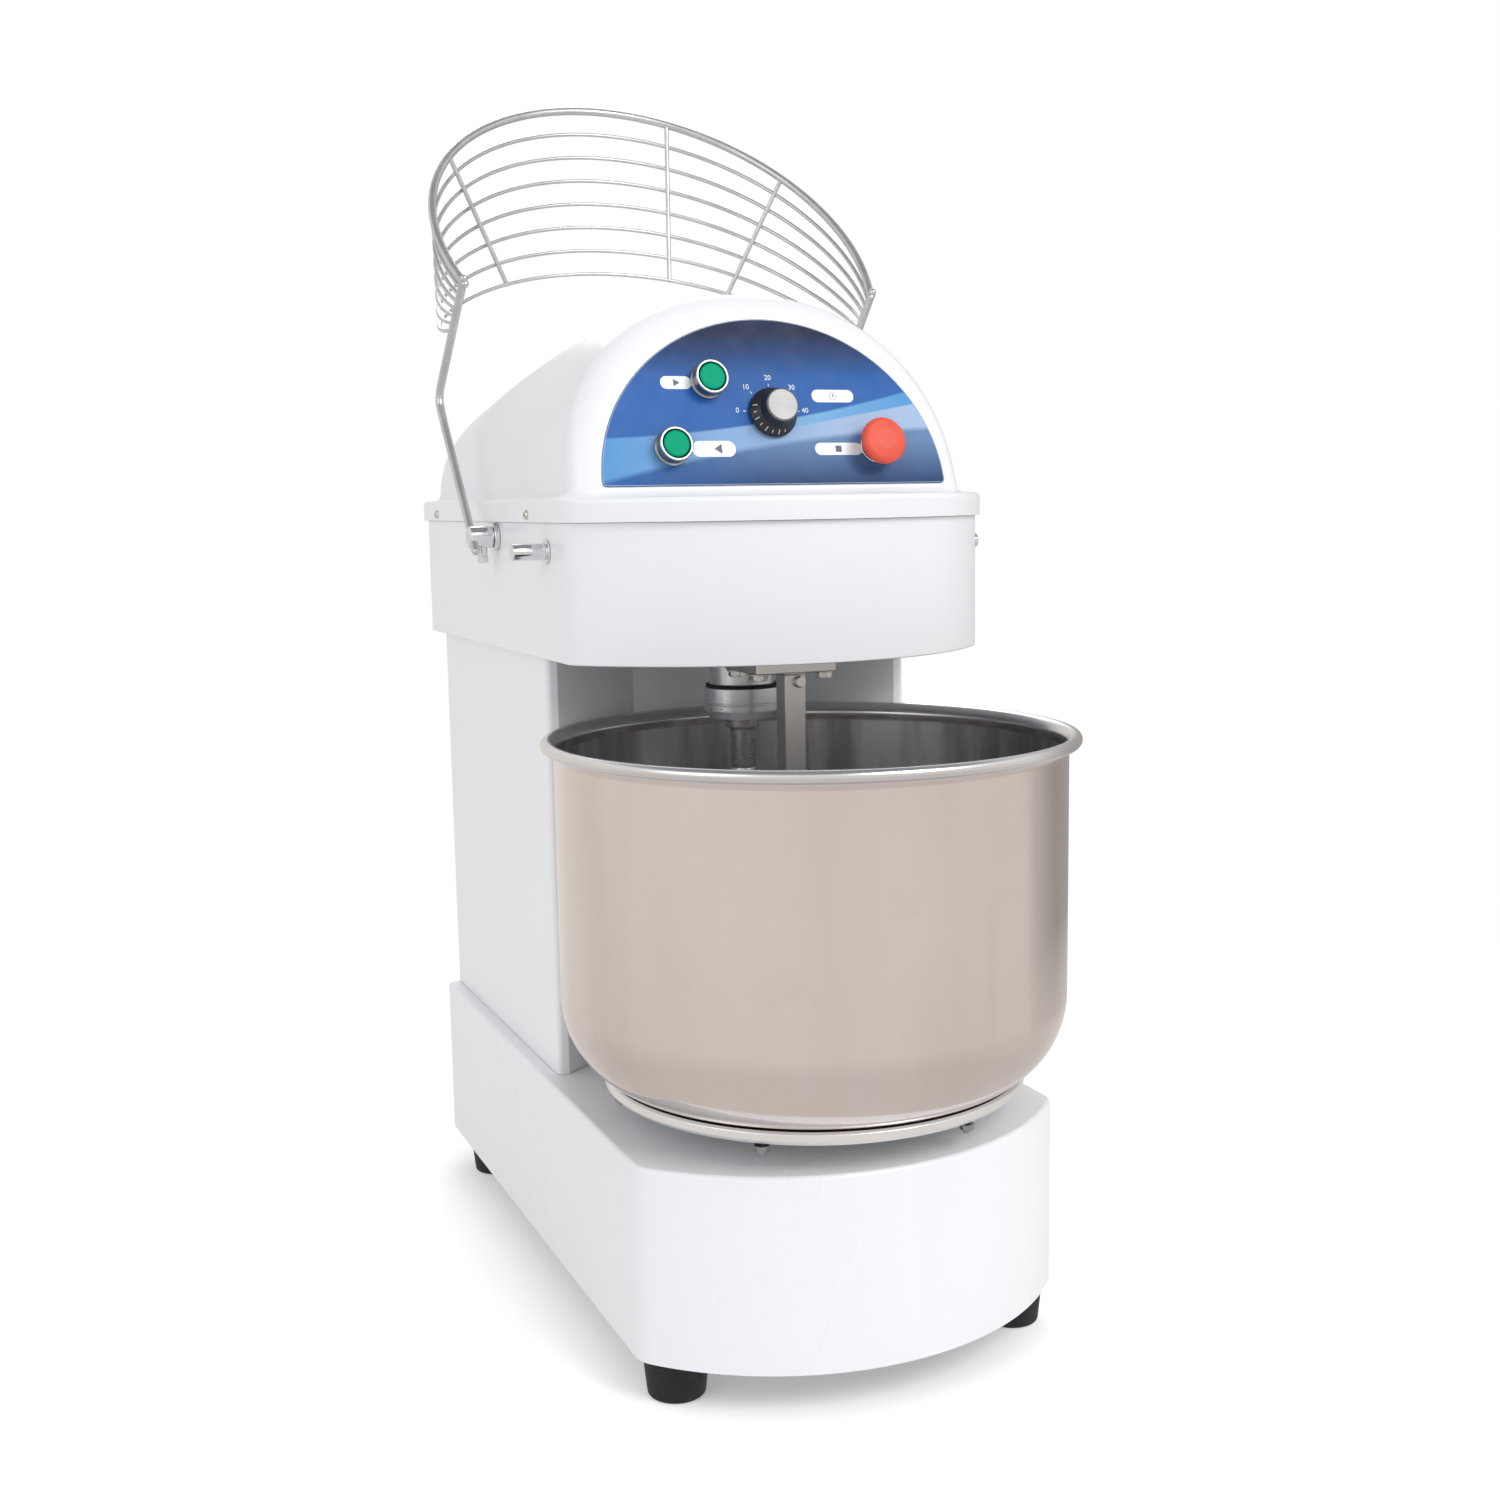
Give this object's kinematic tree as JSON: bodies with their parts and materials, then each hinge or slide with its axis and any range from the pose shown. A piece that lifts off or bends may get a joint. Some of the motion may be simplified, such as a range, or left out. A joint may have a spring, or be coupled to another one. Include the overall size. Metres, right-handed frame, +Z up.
{
  "type": "spiral dough mixer",
  "caption": "Floor-standing bakery spiral mixer: turning steel bowl, spiral hook and dough bar under a domed head with push-button panel and swing-up wire guard.",
  "frame": {"origin": "middle of the bounding box in plan (guard open, cable included), on the floor under the feet", "axes": "+Z up, -Y the operator side where the bowl is, +X to the right of someone facing the back"},
  "size_m": [0.42, 0.7448, 1.0514],
  "materials": {
    "white_paint": "gloss white powder coat",
    "stainless": "polished stainless steel",
    "chrome": "bright plated",
    "guard_wire": "satin plated wire",
    "cast_aluminium": "machined casting",
    "dark_steel": "oiled steel",
    "rubber": "matt black rubber",
    "black_plastic": "matt black",
    "panel_print": "printed blue overlay, no lettering",
    "green_plastic": "satin green",
    "red_plastic": "satin orange red",
    "motor_paint": "grey-blue enamel"
  },
  "bodies": {
    "frame": {"base_shell": "white_paint", "column_shell": "white_paint", "rear_cover": "white_paint", "head_shell": "white_paint", "top_cover": "white_paint", "dough_bar": "stainless", "start_bezel": "chrome", "reverse_bezel": "chrome", "stop_collar": "chrome", "hinge_collar_left": "chrome", "hinge_collar_right": "chrome", "stop_pin_left": "chrome", "stop_pin_right": "chrome", "bowl_bearing": "chrome", "hook_bearing": "chrome", "bowl_housing": "cast_aluminium", "hook_housing": "cast_aluminium", "countershaft_bearing_upper": "cast_aluminium", "countershaft_bearing_lower": "cast_aluminium", "idler_bearing": "cast_aluminium", "base_plate": "dark_steel", "hook_chain": "dark_steel", "idler_chain": "dark_steel", "bowl_chain": "dark_steel", "motor_bracket": "dark_steel", "foot_front_left": "rubber", "foot_front_right": "rubber", "foot_rear_left": "rubber", "foot_rear_right": "rubber", "drive_belt": "rubber", "power_cable": "rubber", "start_switch": "black_plastic", "reverse_switch": "black_plastic", "stop_switch": "black_plastic", "timer_body": "black_plastic", "reversing_contactor": "black_plastic", "cable_gland": "black_plastic", "guard_switch": "black_plastic", "control_panel": "panel_print", "motor_housing": "motor_paint"},
    "bowl": {"bowl": "stainless", "bowl_carrier": "cast_aluminium", "bowl_spindle": "dark_steel", "bowl_sprocket": "dark_steel"},
    "hook": {"spiral_hook": "stainless", "hook_sprocket": "dark_steel"},
    "countershaft": {"countershaft": "dark_steel", "countershaft_pulley": "dark_steel", "countershaft_sprocket": "dark_steel"},
    "idler": {"idler_shaft": "dark_steel", "idler_sprocket": "dark_steel"},
    "motor_rotor": {"motor_shaft": "dark_steel", "motor_pulley": "dark_steel"},
    "guard": {"guard_grid": "guard_wire", "guard_boss_left": "chrome", "guard_boss_right": "chrome"},
    "start_button": {"start_button": "green_plastic"},
    "reverse_button": {"reverse_button": "green_plastic"},
    "stop_button": {"stop_button": "red_plastic"},
    "timer_knob": {"timer_knob": "black_plastic"}
  },
  "joints": [
    {"name": "bowl_spin", "type": "hinge", "parent": "frame", "child": "bowl", "pos_m": [0, -0.1624, 0.2], "axis": [0, 0, 1], "continuous": true},
    {"name": "hook_spin", "type": "hinge", "parent": "frame", "child": "hook", "pos_m": [0, -0.0274, 0.5], "axis": [0, 0, 1], "continuous": true},
    {"name": "countershaft_spin", "type": "hinge", "parent": "frame", "child": "countershaft", "pos_m": [0, 0.1076, 0.3], "axis": [0, 0, 1], "continuous": true},
    {"name": "idler_spin", "type": "hinge", "parent": "frame", "child": "idler", "pos_m": [-0.085, -0.0124, 0.1], "axis": [0, 0, 1], "continuous": true},
    {"name": "motor_spin", "type": "hinge", "parent": "frame", "child": "motor_rotor", "pos_m": [0, 0.2626, 0.5], "axis": [0, 0, 1], "continuous": true},
    {"name": "guard_swing", "type": "hinge", "parent": "frame", "child": "guard", "pos_m": [0, 0.0853, 0.6384], "axis": [1, 0, 0], "range_deg": [0, 132]},
    {"name": "timer_turn", "type": "hinge", "parent": "frame", "child": "timer_knob", "pos_m": [0.0016, -0.09245, 0.73469], "axis": [0, 0.9627, -0.2706], "range_deg": [0, 300]},
    {"name": "start_press", "type": "slide", "parent": "frame", "child": "start_button", "axis": [0, 0.9627, -0.2706], "range_m": [0, 0.004]},
    {"name": "reverse_press", "type": "slide", "parent": "frame", "child": "reverse_button", "axis": [0, 0.9627, -0.2706], "range_m": [0, 0.004]},
    {"name": "stop_press", "type": "slide", "parent": "frame", "child": "stop_button", "axis": [0, 0.9627, -0.2706], "range_m": [0, 0.0035]}
  ],
  "couplings": [
    {"joint": "hook_spin", "follows": "bowl_spin", "ratio": 7.6136},
    {"joint": "countershaft_spin", "follows": "bowl_spin", "ratio": 16.75},
    {"joint": "idler_spin", "follows": "bowl_spin", "ratio": 5.5833},
    {"joint": "motor_spin", "follows": "bowl_spin", "ratio": 55.833}
  ]
}
